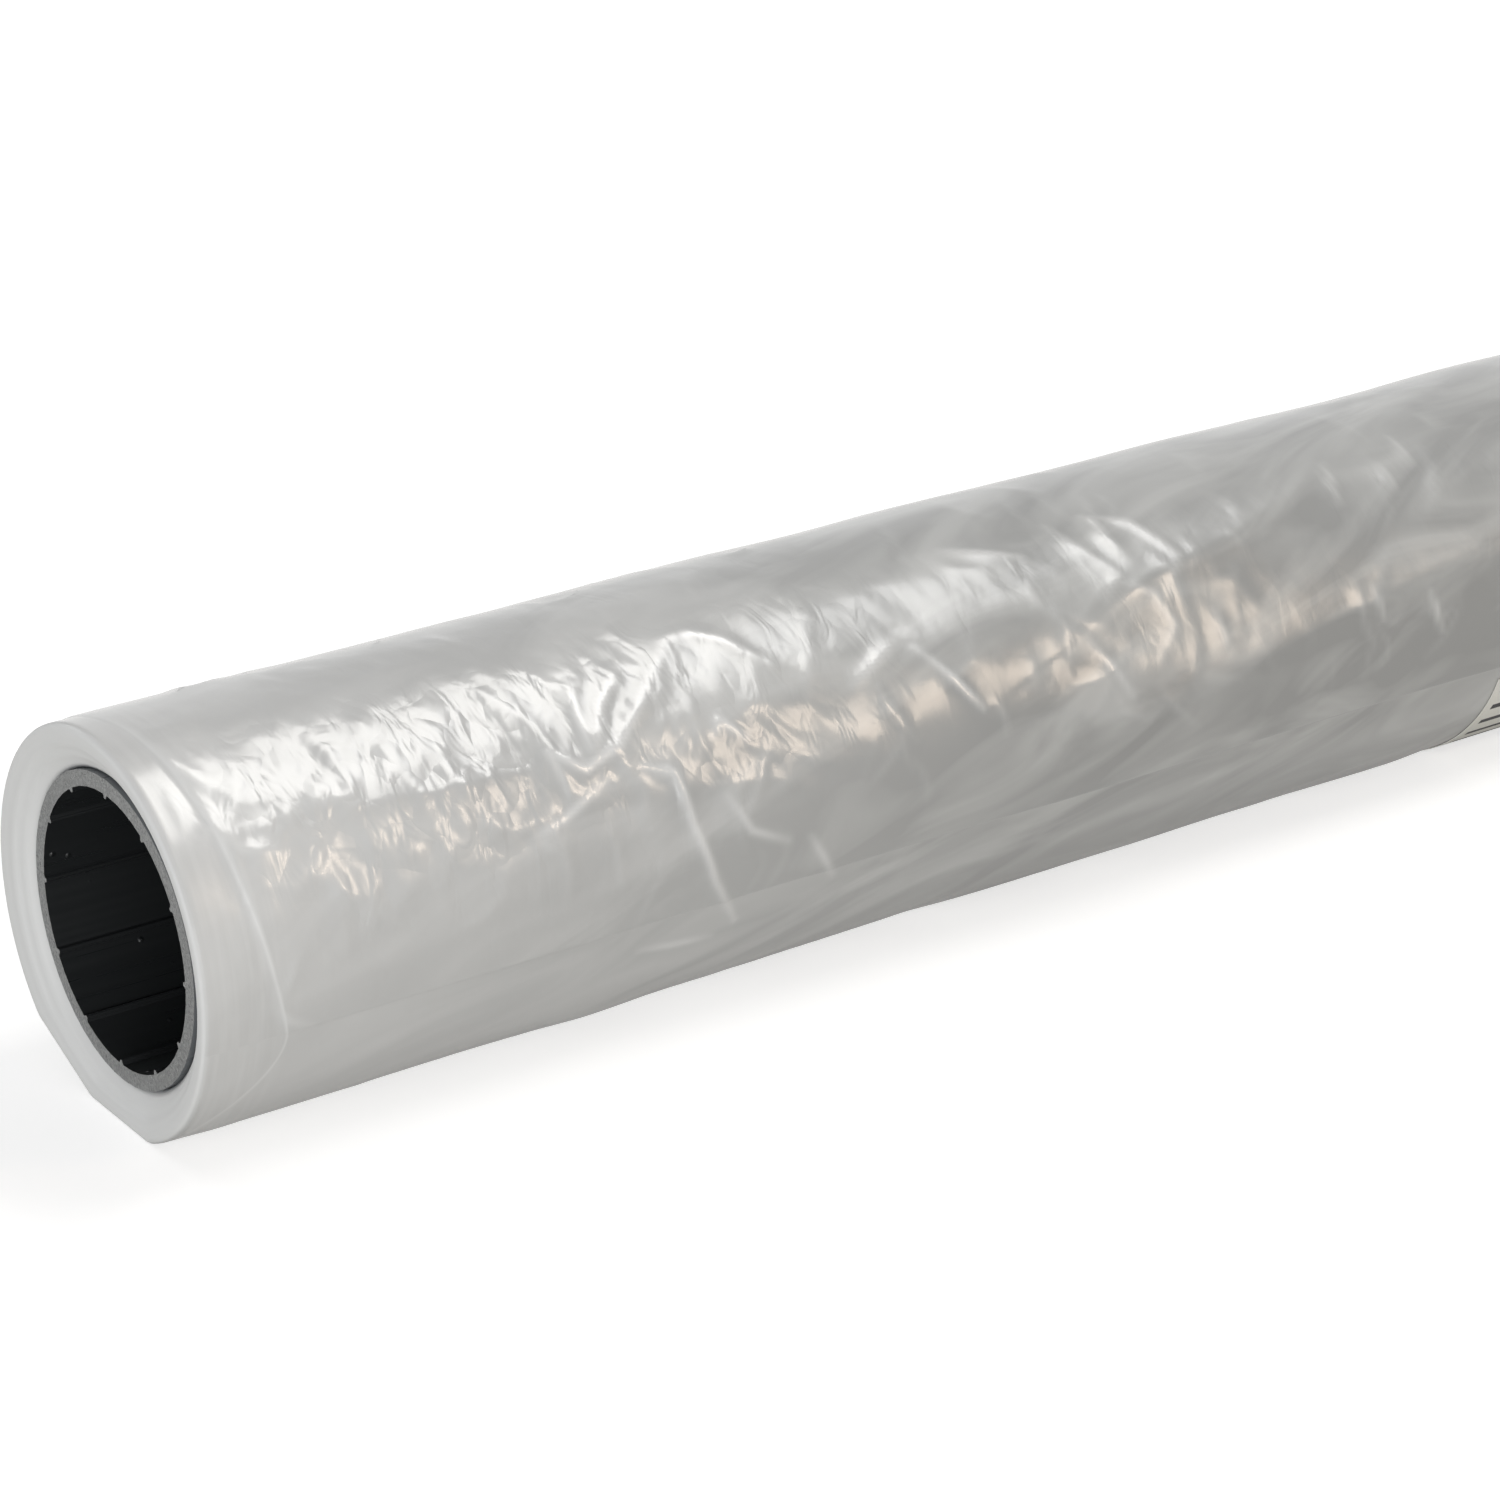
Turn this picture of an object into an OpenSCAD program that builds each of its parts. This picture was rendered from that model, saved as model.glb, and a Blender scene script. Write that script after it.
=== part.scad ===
// Roll of plastic sheeting: clear film wound on a ribbed plastic core, lying on its side.
// The roll's axis runs along X, the near end is at -X, and the front, which the film's free edge
// comes down, faces -Y. The floor is z = 0 under the roll's flat spot.
// Angles are measured round the axis: 0 faces -Y, 90 is the top, 180 faces +Y, -90 is the floor.

/* [Roll] */
// Length of the wound film, from rim to rim
roll_len = 1000; // [700:5:1400]
// Outer diameter of the wound film, under its last turn
roll_d = 114; // [108:0.5:150]
// How far the soft roll has settled on to its flat spot
flat_sink = 4; // [1:0.1:6]

/* [Core] */
// Outer diameter of the core
core_d = 87.4; // [60:0.2:90]
// Wall of the core between its ribs
core_wall = 4.5; // [2:0.1:8]
// How far each end of the core sits inside the film's rim
core_recess = 4.5; // [1:0.1:12]
// Number of ribs along the core's bore
rib_count = 12; // [4:1:24]
// Height of a rib above the bore
rib_h = 1.2; // [0.5:0.1:3]
// Thickness of a rib at its tip
rib_w = 1.2; // [0.6:0.1:3]
// Width of the fillet at each side of a rib's foot
rib_foot = 0.6; // [0.2:0.1:1.5]

/* [Film] */
// Air between the core and the first turn
wind_gap = 0.1; // [0.05:0.05:0.5]
// Thickness of one turn, which is a sheet folded to half its width
turn_t = 0.4; // [0.1:0.05:0.8]
// How far the last turn's side edge is set back from the near end, at the free edge
tail_setback = 24; // [14:1:60]
// Arc from the label's upper edge up to the film's free edge
tail_up = 5; // [3:1:40]
// Width of the free edge's slope down to the turn below
tail_slope = 0.4; // [0.2:0.1:1]

/* [Ends] */
// Radius of the rounded outer rim
rim_round = 3.2; // [1:0.1:4]
// How far the first turns stop short of the core's end
first_turn_back = 2; // [0.5:0.1:6]
// Bands of turns that stand out in each end face
band_count = 5; // [3:1:7]
// Height of a band's outer edge above the next band
band_step = 0.5; // [0.1:0.05:0.8]
// Room kept free of folds at each end
plain_end = 24; // [10:1:60]

/* [Folds] */
// Height of the tallest fold in the slack last turns
fold_h = 1.4; // [0.1:0.1:2]
// Half width of the soft folds that wind along the roll
soft_fold_w = 13; // [8:0.5:20]
// Half width of the sharper creases
crease_w = 7; // [4:0.5:12]
// How far the slack film sags below the front
sag_h = 0.5; // [0:0.1:1.5]
// Length of the second flat, from an earlier rest, from the near end along the far side
old_flat_len = 300; // [100:10:600]
// Turn of the second flat from straight down, towards the far side
old_flat_turn = 23.4; // [15:0.1:35]

/* [Label] */
// Width of the label along the roll
label_w = 96; // [50:1:160]
// Height of the label along the arc
label_h = 46; // [25:1:48]
// Thickness of the label's paper
label_t = 0.25; // [0.1:0.05:0.6]
// Air between the label and the film, its glue film
label_gap = 0.15; // [0.1:0.05:0.4]
// Arc from the flat spot up to the label's lower edge
label_up = 4; // [3:1:15]
// Slant of the label's side edges, from being stuck on by hand
label_skew = 1.5; // [0:0.5:5]

/* [Hidden] */
$fn = 120;

roll_r = roll_d / 2;
axis_h = roll_r - flat_sink;
core_r = core_d / 2;
bore_r = core_r - core_wall;
core_len = roll_len - 2 * core_recess;
film_in_r = core_r + wind_gap;
deg_per_mm = 180 / (PI * roll_r);

// The flat spot's edge, the label and the free edge follow each other up the front
flat_edge_a = acos(axis_h / roll_r) - 90;
label_low_a = flat_edge_a + label_up * deg_per_mm;
label_top_a = label_low_a + label_h * deg_per_mm;
tail_a = label_top_a + tail_up * deg_per_mm;

// Columns round the roll, closer together on the front than on the back
columns = 64;
front_crowding = 0.045;
back_share = 0.4;
hidden_share = 0.12;
// Rows along the roll: the folded near half is finer than the plain far half, and finest at the star
near_rows = 40;
far_rows = 17;
star_crowding = 0.06;
star_share = 0.28;
step_half = 0.25;
trim = 1;
floor_trim = 0.15;

// Folds as [mm from the near end, angle, mm from the near end, angle, share of fold_h, half width]
star_fold = [
    [130, 63, 124, 41, 0.6, crease_w],
    [146, 61, 127, 40, 0.7, crease_w],
    [166, 67, 134, 39, 0.9, crease_w],
    [163, 66, 189, 50, 0.6, crease_w],
    [134, 39, 114, 32, 0.6, crease_w]
];
creases = [
    [148, 29, 166, -20, 0.7, crease_w],
    [102, 21, 127, 31, 0.4, crease_w],
    [165, 36, 181, 2, 0.5, crease_w],
    [237, 42, 251, 22, 0.5, crease_w],
    [230, 47, 212, 38, 0.5, crease_w],
    [263, 72, 286, 62, 0.5, crease_w],
    [303, 70, 336, 53, 0.5, crease_w],
    [324, 37, 304, 15, 0.6, crease_w],
    [408, 63, 402, 50, 0.4, crease_w],
    [434, 73, 426, 56, 0.4, crease_w]
];
soft_folds = [
    [404, 66, 290, 35, 0.9, soft_fold_w],
    [440, 28, 280, -5, 0.9, soft_fold_w],
    [214, 18, 390, -30, 0.45, soft_fold_w],
    [108, -44, 152, -52, 0.8, soft_fold_w],
    [560, 62, 440, 20, 0.7, soft_fold_w],
    [720, 92, 590, 48, 0.9, soft_fold_w],
    [790, 40, 640, 2, 0.8, soft_fold_w],
    [900, 84, 780, 50, 0.6, soft_fold_w],
    [350, 150, 180, 118, 0.7, soft_fold_w],
    [330, 177, 210, 172, 0.9, soft_fold_w],
    [640, 168, 480, 132, 0.8, soft_fold_w],
    [880, 150, 740, 120, 0.6, soft_fold_w]
];
folds = concat(star_fold, creases, soft_folds);

// Rises smoothly from 0 to 1 while its value goes from 0 to 1
function ease(v) = let (c = max(0, min(1, v))) c * c * (3 - 2 * c);

function polar(x, r, a) = [x, -r * cos(a), axis_h + r * sin(a)];

// The same angle, between -180 and 180
function wrapped(a) = a < -180 ? a + 360 : a;

function from_near_end(x) = x + roll_len / 2;

// Turned share of the last turn, from 0 just under the free edge to 1 at the free edge
function turned(a) = (tail_a - a) / 360 - floor((tail_a - a) / 360);

// Radius of the wound spiral's outside
function spiral_r(share) = roll_r + turn_t * share;

function edge_distance(p, a, b) =
    let (run = b - a, along = max(0, min(1, (p - a) * run / (run * run))))
    norm(p - a - along * run);

function one_fold(p, f) =
    let (
        a = [f[0], f[1] / deg_per_mm],
        b = [f[2], f[3] / deg_per_mm],
        off = edge_distance(p, a, b) / f[5]
    )
    off > 3 ? 0 : f[4] * exp(-off * off);

// The paper holds the film smooth under the label, and the wound ends are smooth too
function folds_free(x, a) =
    let (
        beside = (abs(x) - label_w / 2) / plain_end,
        over = max(a - label_top_a, label_low_a - a) * PI * roll_r / 180 / tail_up
    )
    max(ease(beside), ease(over)) * ease((roll_len / 2 - abs(x)) / plain_end - 0.5);

function fold_relief(x, a) =
    let (p = [from_near_end(x), a / deg_per_mm])
    fold_h * folds_free(x, a) * [for (f = folds) one_fold(p, f)] * [for (f = folds) 1];

// The slack turns hang a little below the front, just above the flat spot
function sag(x, a) =
    sag_h * folds_free(x, a) * exp(-pow((a - flat_edge_a - 16) / 14, 2));

// A flat reaches out to its own distance from the axis
function flat_limit(reach, off_a) = cos(off_a) > 0.5 ? reach / cos(off_a) : 2 * roll_r;

function old_flat_reach(x) =
    roll_r - flat_sink * ease(1.5 - 1.5 * from_near_end(x) / old_flat_len);

// Radius of the film's outside, with its flats, folds and sag
function skin_r(x, a, share, drop) =
    let (
        free = spiral_r(share) - drop + fold_relief(x, wrapped(a)) + sag(x, wrapped(a)),
        floor_flat = flat_limit(axis_h + floor_trim, a + 90),
        old_flat = flat_limit(old_flat_reach(x), a + 90 + old_flat_turn)
    )
    min(free, floor_flat, old_flat);

// How far the last turn's side edge stands from the near end. It shrinks round the roll from the
// free edge, and grows back unseen under the free edge, where the step has no height
function setback(share) =
    let (seat = rim_round + step_half * 4)
    seat + (tail_setback - seat) * max(exp(-4 * (1 - share)), 1 - ease(share / hidden_share));

// The end face, from the first turn out to the rim: each band leans out to its outer edge
function band_point(share_out, behind, rim_r) = [
    (core_recess + first_turn_back) * pow(1 - share_out, 1.6) + behind,
    film_in_r + share_out * (rim_r - rim_round - film_in_r)
];

function end_face(rim_r) = concat(
    [[core_recess + first_turn_back, film_in_r - trim]],
    [for (band = [0 : band_count - 1], outer = [0, 1])
        band_point((band + 0.06 + 0.94 * outer) / band_count, band_step * (1 - outer), rim_r)],
    [for (turn = [30, 60])
        [rim_round * (1 - cos(turn)), rim_r - rim_round * (1 - sin(turn))]]
);

// One column's outline as [x, r], round the film from the near bore to the far bore
function column(a, share) =
    let (
        half = roll_len / 2,
        edge_x = setback(share) - half,
        body_x = tail_setback + 10 - half,
        label_x = -label_w / 2,
        near_r = skin_r(-half, a, share, turn_t * share),
        far_r = skin_r(half, a, share, 0),
        far_face = end_face(far_r)
    )
    concat(
        [for (p = end_face(near_r)) [p[0] - half, p[1]]],
        [for (x = [rim_round - half, edge_x - step_half]) [x, skin_r(x, a, share, turn_t * share)]],
        [for (x = [edge_x + step_half]) [x, skin_r(x, a, share, 0)]],
        [for (k = [0 : near_rows])
            let (x = body_x + (label_x - body_x) * row_share(k / near_rows)) [x, skin_r(x, a, share, 0)]],
        [for (k = [1 : far_rows])
            let (x = label_x + (half - rim_round - label_x) * k / far_rows) [x, skin_r(x, a, share, 0)]],
        [for (k = [len(far_face) - 1 : -1 : 0]) [half - far_face[k][0], far_face[k][1]]]
    );

// Crowds an even run of shares together half a turn away from the sparse place
function crowded(even, crowding, sparse) =
    even + crowding * (sin(360 * (even - sparse)) + sin(360 * sparse));

function column_share(i) = crowded(i / columns, front_crowding, back_share);

function row_share(even) = crowded(even, star_crowding, star_share + 0.5);

// The wound film as one closed skin
module wound_film() {
    slope_share = tail_slope * deg_per_mm / 360;
    shares = [for (i = [0 : columns]) column_share(i) * (1 - slope_share)];
    outlines = [for (share = shares) column(tail_a - 360 * share, share)];
    rows = len(outlines[0]);
    points = [
        for (i = [0 : columns], p = outlines[i])
            polar(p[0], p[1], tail_a - 360 * shares[i])
    ];
    faces = [
        for (i = [0 : columns], k = [0 : rows - 1])
            let (next_i = (i + 1) % (columns + 1), next_k = (k + 1) % rows)
            [i * rows + k, i * rows + next_k, next_i * rows + next_k, next_i * rows + k]
    ];
    polyhedron(points = points, faces = faces);
}

// Clear film, milky where its turns lie deep, round the core and flat on the floor
module film_roll() {
    color("gainsboro")
    difference() {
        wound_film();
        translate([-roll_len, -roll_d, -roll_d]) cube([2 * roll_len, 2 * roll_d, roll_d]);
        translate([0, 0, axis_h]) rotate([0, 90, 0])
            cylinder(r = film_in_r, h = roll_len + 2 * trim, center = true);
    }
}

// One rib's section, its foot let into the wall
module rib_section() {
    tip = bore_r - rib_h;
    chamfer = rib_w / 4;
    polygon([
        [-rib_w / 2 - rib_foot, bore_r + core_wall / 2],
        [-rib_w / 2 - rib_foot, bore_r],
        [-rib_w / 2, bore_r - rib_foot],
        [-rib_w / 2, tip + chamfer],
        [-rib_w / 2 + chamfer, tip],
        [rib_w / 2 - chamfer, tip],
        [rib_w / 2, tip + chamfer],
        [rib_w / 2, bore_r - rib_foot],
        [rib_w / 2 + rib_foot, bore_r],
        [rib_w / 2 + rib_foot, bore_r + core_wall / 2]
    ]);
}

// Black extruded tube with ribs along its bore, sawn off square
module core() {
    color("#26282a")
    translate([-core_len / 2, 0, axis_h]) rotate([90, 0, 90])
        linear_extrude(core_len) {
            difference() {
                circle(r = core_r);
                circle(r = bore_r);
            }
            for (i = [0 : rib_count - 1])
                rotate(i * 360 / rib_count) rib_section();
        }
}

label_columns = 12;
label_rows = 12;

// A point of the label, by its shares along and up, at a height above the film
function label_point(along, up, lift) =
    let (
        a = label_low_a + (label_top_a - label_low_a) * up,
        x = label_w * (along - 0.5) + tan(label_skew) * label_h * (up - 0.5)
    )
    polar(x, spiral_r(turned(a)) + lift, a);

// Plain paper slip that follows the film's curve
module label() {
    side = (label_columns + 1) * (label_rows + 1);
    points = [
        for (lift = [label_gap, label_gap + label_t], k = [0 : label_rows], i = [0 : label_columns])
            label_point(i / label_columns, k / label_rows, lift)
    ];
    function at(i, k) = k * (label_columns + 1) + i;
    under = [
        for (k = [0 : label_rows - 1], i = [0 : label_columns - 1])
            [at(i, k), at(i, k + 1), at(i + 1, k + 1), at(i + 1, k)]
    ];
    rim = concat(
        [for (i = [0 : label_columns - 1]) at(i, 0)],
        [for (k = [0 : label_rows - 1]) at(label_columns, k)],
        [for (i = [label_columns : -1 : 1]) at(i, label_rows)],
        [for (k = [label_rows : -1 : 1]) at(0, k)]
    );
    faces = concat(
        under,
        [for (f = under) [side + f[3], side + f[2], side + f[1], side + f[0]]],
        [for (j = [0 : len(rim) - 1])
            let (next_j = (j + 1) % len(rim))
            [rim[j], rim[next_j], side + rim[next_j], side + rim[j]]]
    );
    color("white") polyhedron(points = points, faces = faces);
}

core();
film_roll();
label();
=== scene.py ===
import math

import bpy
import numpy as np
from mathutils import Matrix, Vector


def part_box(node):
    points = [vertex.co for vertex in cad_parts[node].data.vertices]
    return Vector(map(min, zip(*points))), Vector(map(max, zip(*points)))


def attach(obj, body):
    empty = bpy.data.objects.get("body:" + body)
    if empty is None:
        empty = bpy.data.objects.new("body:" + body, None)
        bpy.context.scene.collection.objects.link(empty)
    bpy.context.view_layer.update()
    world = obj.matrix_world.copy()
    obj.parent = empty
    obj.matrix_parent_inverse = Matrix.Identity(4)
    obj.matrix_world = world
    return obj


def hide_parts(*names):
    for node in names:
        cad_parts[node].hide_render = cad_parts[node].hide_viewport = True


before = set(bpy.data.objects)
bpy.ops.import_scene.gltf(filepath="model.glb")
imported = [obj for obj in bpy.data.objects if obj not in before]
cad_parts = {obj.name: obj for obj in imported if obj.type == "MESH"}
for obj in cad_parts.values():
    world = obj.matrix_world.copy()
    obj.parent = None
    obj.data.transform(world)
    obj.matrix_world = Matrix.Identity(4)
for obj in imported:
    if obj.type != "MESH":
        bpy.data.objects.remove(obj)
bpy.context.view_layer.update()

# The view of the photograph: a long lens in front of the near end, a little above the roll.
# The place and the aim were fitted to the core's end ring and to the roll's two outlines.
camera_place = Vector((-0.9740, -0.9659, 0.5678))
camera_aim = Vector((-0.2909, 0.0, 0.0534))
camera = bpy.data.objects.new("camera", bpy.data.cameras.new("camera"))
bpy.context.scene.collection.objects.link(camera)
bpy.context.scene.camera = camera
camera.data.lens = 108.14
camera.data.sensor_width = 36
camera.location = camera_place
camera.rotation_euler = (camera_aim - camera_place).to_track_quat("-Z", "Y").to_euler()

# The core: one tube of black recycled polyethylene, extruded with twelve ribs along its bore.
# Its ends are sawn off, which leaves a pale scratched cut with a burr; the bore keeps the dull
# skin, the draw lines and the small blisters that came out of the die.
mm = 0.001
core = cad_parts["core"]
core_low, core_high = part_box("core")
core_r_mm = (core_high.y - core_low.y) / 2 / mm
axis_h_mm = (core_high.z + core_low.z) / 2 / mm
core_half_mm = core_high.x / mm


def add(tree, kind, inputs, **settings):
    """Adds a node with its settings; each input takes a value or the output that feeds it."""
    node = tree.nodes.new(kind)
    for name, value in settings.items():
        setattr(node, name, value)
    for name, value in inputs.items():
        if isinstance(value, bpy.types.NodeSocket):
            tree.links.new(value, node.inputs[name])
        else:
            node.inputs[name].default_value = value
    return node


def linear(text):
    """An sRGB hex colour as the linear colour that the shader takes."""
    parts = [int(text[i : i + 2], 16) / 255 for i in (1, 3, 5)]
    return (*[c / 12.92 if c <= 0.04045 else ((c + 0.055) / 1.055) ** 2.4 for c in parts], 1)


# Recycled polyethylene, extruded: a dull black skin with fine draw lines along the tube, and
# where the saw has cut it, a torn surface that scatters light and looks grey.
skin_hex, sawn_hex, torn_hex, scuffed_hex = "#1f2122", "#8b8c8c", "#6c6e6e", "#64676a"
draw_line_mm, blister_mm, saw_mark_mm = 1.6, 7.0, 0.8
polyethylene = bpy.data.materials.new("recycled_polyethylene_extruded")
polyethylene.use_nodes = True
tree = polyethylene.node_tree
tree.nodes.clear()
place = add(tree, "ShaderNodeTexCoord", {}).outputs["Object"]
along = add(tree, "ShaderNodeMapping", {"Vector": place, "Scale": (0.02, 1, 1)}).outputs[0]
draw = add(tree, "ShaderNodeTexNoise", {"Vector": along, "Scale": 1 / (draw_line_mm * mm), "Detail": 3.0})
spots = add(tree, "ShaderNodeTexVoronoi", {"Vector": place, "Scale": 1 / (blister_mm * mm)})
domes = add(
    tree, "ShaderNodeMapRange",
    {"Value": spots.outputs["Distance"], 1: 0.0, 2: 0.16, 3: 1.0, 4: 0.0}, interpolation_type="SMOOTHSTEP",
)
some = add(tree, "ShaderNodeMath", {0: spots.outputs["Color"], 1: 0.45}, operation="GREATER_THAN")
blisters = add(tree, "ShaderNodeMath", {0: domes.outputs[0], 1: some.outputs[0]}, operation="MULTIPLY")
facing = add(tree, "ShaderNodeNewGeometry", {}).outputs["Normal"]
facing_x = add(tree, "ShaderNodeSeparateXYZ", {"Vector": facing}).outputs["X"]
endways = add(tree, "ShaderNodeMath", {0: facing_x}, operation="ABSOLUTE").outputs[0]
cut = add(tree, "ShaderNodeMapRange", {"Value": endways, 1: 0.6, 2: 0.8}).outputs[0]
scratches = add(tree, "ShaderNodeTexNoise", {"Vector": place, "Scale": 1 / (saw_mark_mm * mm), "Detail": 5.0})
torn = add(tree, "ShaderNodeMapRange", {"Value": scratches.outputs["Fac"], 1: 0.35, 2: 0.65})
sawn = add(
    tree, "ShaderNodeMix", {0: torn.outputs[0], 6: linear(torn_hex), 7: linear(sawn_hex)}, data_type="RGBA"
)
on_axis = (0, 0, axis_h_mm * mm)
from_axis = add(tree, "ShaderNodeVectorMath", {0: place, 1: on_axis}, operation="SUBTRACT").outputs[0]
spoke = add(tree, "ShaderNodeVectorMath", {0: from_axis, 1: (0, 1, 1)}, operation="MULTIPLY").outputs[0]
off_axis = add(tree, "ShaderNodeVectorMath", {0: spoke}, operation="LENGTH").outputs["Value"]
scuffed_from_m, scuffed_to_m = (core_r_mm - 0.6) * mm, (core_r_mm - 0.3) * mm
scuffed = add(tree, "ShaderNodeMapRange", {"Value": off_axis, 1: scuffed_from_m, 2: scuffed_to_m}).outputs[0]
skin_colour = add(
    tree, "ShaderNodeMix", {0: scuffed, 6: linear(skin_hex), 7: linear(scuffed_hex)}, data_type="RGBA"
).outputs[2]
core_colour = add(tree, "ShaderNodeMix", {0: cut, 6: skin_colour, 7: sawn.outputs[2]}, data_type="RGBA")
torn_cut = add(tree, "ShaderNodeMath", {0: torn.outputs[0], 1: cut}, operation="MULTIPLY")
lines = add(tree, "ShaderNodeMath", {0: draw.outputs["Fac"], 1: 0.04}, operation="MULTIPLY")
raised = add(tree, "ShaderNodeMath", {0: blisters.outputs[0], 1: 1.6}, operation="MULTIPLY")
skin = add(tree, "ShaderNodeMath", {0: lines.outputs[0], 1: raised.outputs[0]}, operation="ADD")
core_height = add(tree, "ShaderNodeMath", {0: skin.outputs[0], 1: torn_cut.outputs[0]}, operation="ADD")
core_bump = add(
    tree, "ShaderNodeBump", {"Height": core_height.outputs[0], "Strength": 0.6, "Distance": 0.0006}
)
dull = add(tree, "ShaderNodeMapRange", {"Value": draw.outputs["Fac"], 1: 0.3, 2: 0.7, 3: 0.26, 4: 0.38})
core_skin = add(
    tree, "ShaderNodeBsdfPrincipled",
    {
        "Base Color": core_colour.outputs[2],
        "Roughness": dull.outputs[0],
        "IOR": 1.5,
        "Normal": core_bump.outputs[0],
    },
)
add(tree, "ShaderNodeOutputMaterial", {"Surface": core_skin.outputs[0]})
core.data.materials.clear()
core.data.materials.append(polyethylene)

# The wound film: every turn of a clear polythene sheet that was folded to half its width and
# wound on the core. The deep turns look milky, the last ones lie slack and have crumpled, the
# last turn's side edge stands back from the near end, and the roll has settled on to a flat.
film_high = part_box("film_roll")[1]
roll_half_mm = film_high.x / mm
roll_r_mm = 57.0
roll_end_mm = 2 * roll_half_mm
deg_per_mm = 180 / math.pi / roll_r_mm
turn_mm = 0.4
film_in_mm = core_r_mm + 0.1
tail_setback_mm = 24.0
rim_round_mm = 1.8
core_recess_mm = roll_half_mm - core_half_mm
first_turn_back_mm = 2.0
flat_edge_deg = math.degrees(math.acos(axis_h_mm / roll_r_mm)) - 90
label_low_deg = flat_edge_deg + 4 * deg_per_mm
label_top_deg = label_low_deg + 46 * deg_per_mm
label_half_mm = 48.0
tail_deg = label_top_deg + 5 * deg_per_mm

# The film's outside as a grid: one column for each small step round the last turn, from under
# the free edge to the edge itself, and one row for each small step along the roll
columns, far_rows = 236, 85
row_zones = ((100, 1.7), (200, 1.1), (340, 1.6), (0, 2.0))
crowding, crowded_at = 0.08, 0.4
even = np.linspace(0, 1, columns + 1)
crowded = np.sin(2 * np.pi * (even - crowded_at)) + math.sin(2 * math.pi * crowded_at)
shares = even + crowding * crowded
shares = shares * (1 - turn_mm * deg_per_mm / 360)
degs = tail_deg - 360 * shares
front_degs = np.where(degs < -180, degs + 360, degs)
arc = front_degs / deg_per_mm
label_start_mm = roll_half_mm - label_half_mm
body_start_mm = tail_setback_mm + 4
near_steps, zone_start = [], body_start_mm
for zone_end, step in row_zones:
    zone_end = zone_end or label_start_mm
    zone_rows = round((zone_end - zone_start) / step)
    near_steps.extend(np.linspace(zone_start, zone_end, zone_rows, endpoint=False))
    zone_start = zone_end
far_steps = np.linspace(label_start_mm, roll_end_mm - rim_round_mm, far_rows + 1)


def ease(v):
    c = np.clip(v, 0, 1)
    return c * c * (3 - 2 * c)


seat_mm = rim_round_mm + 1
under_tail = 1 - ease(shares / 0.12)
setback = seat_mm + (tail_setback_mm - seat_mm) * np.maximum(np.exp(-4 * (1 - shares)), under_tail)
edge_half_mm = 0.45
strip_rows = [rim_round_mm + (setback - edge_half_mm - rim_round_mm) * k / 8 for k in range(9)]
edge_rows = [setback + edge_half_mm + (body_start_mm - setback - edge_half_mm) * k / 7 for k in range(7)]
from_end = np.array(
    strip_rows + edge_rows + [np.full(columns + 1, x) for x in (*near_steps, *far_steps)]
)
lowered = np.zeros(from_end.shape)
lowered[: len(strip_rows)] = 1

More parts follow.
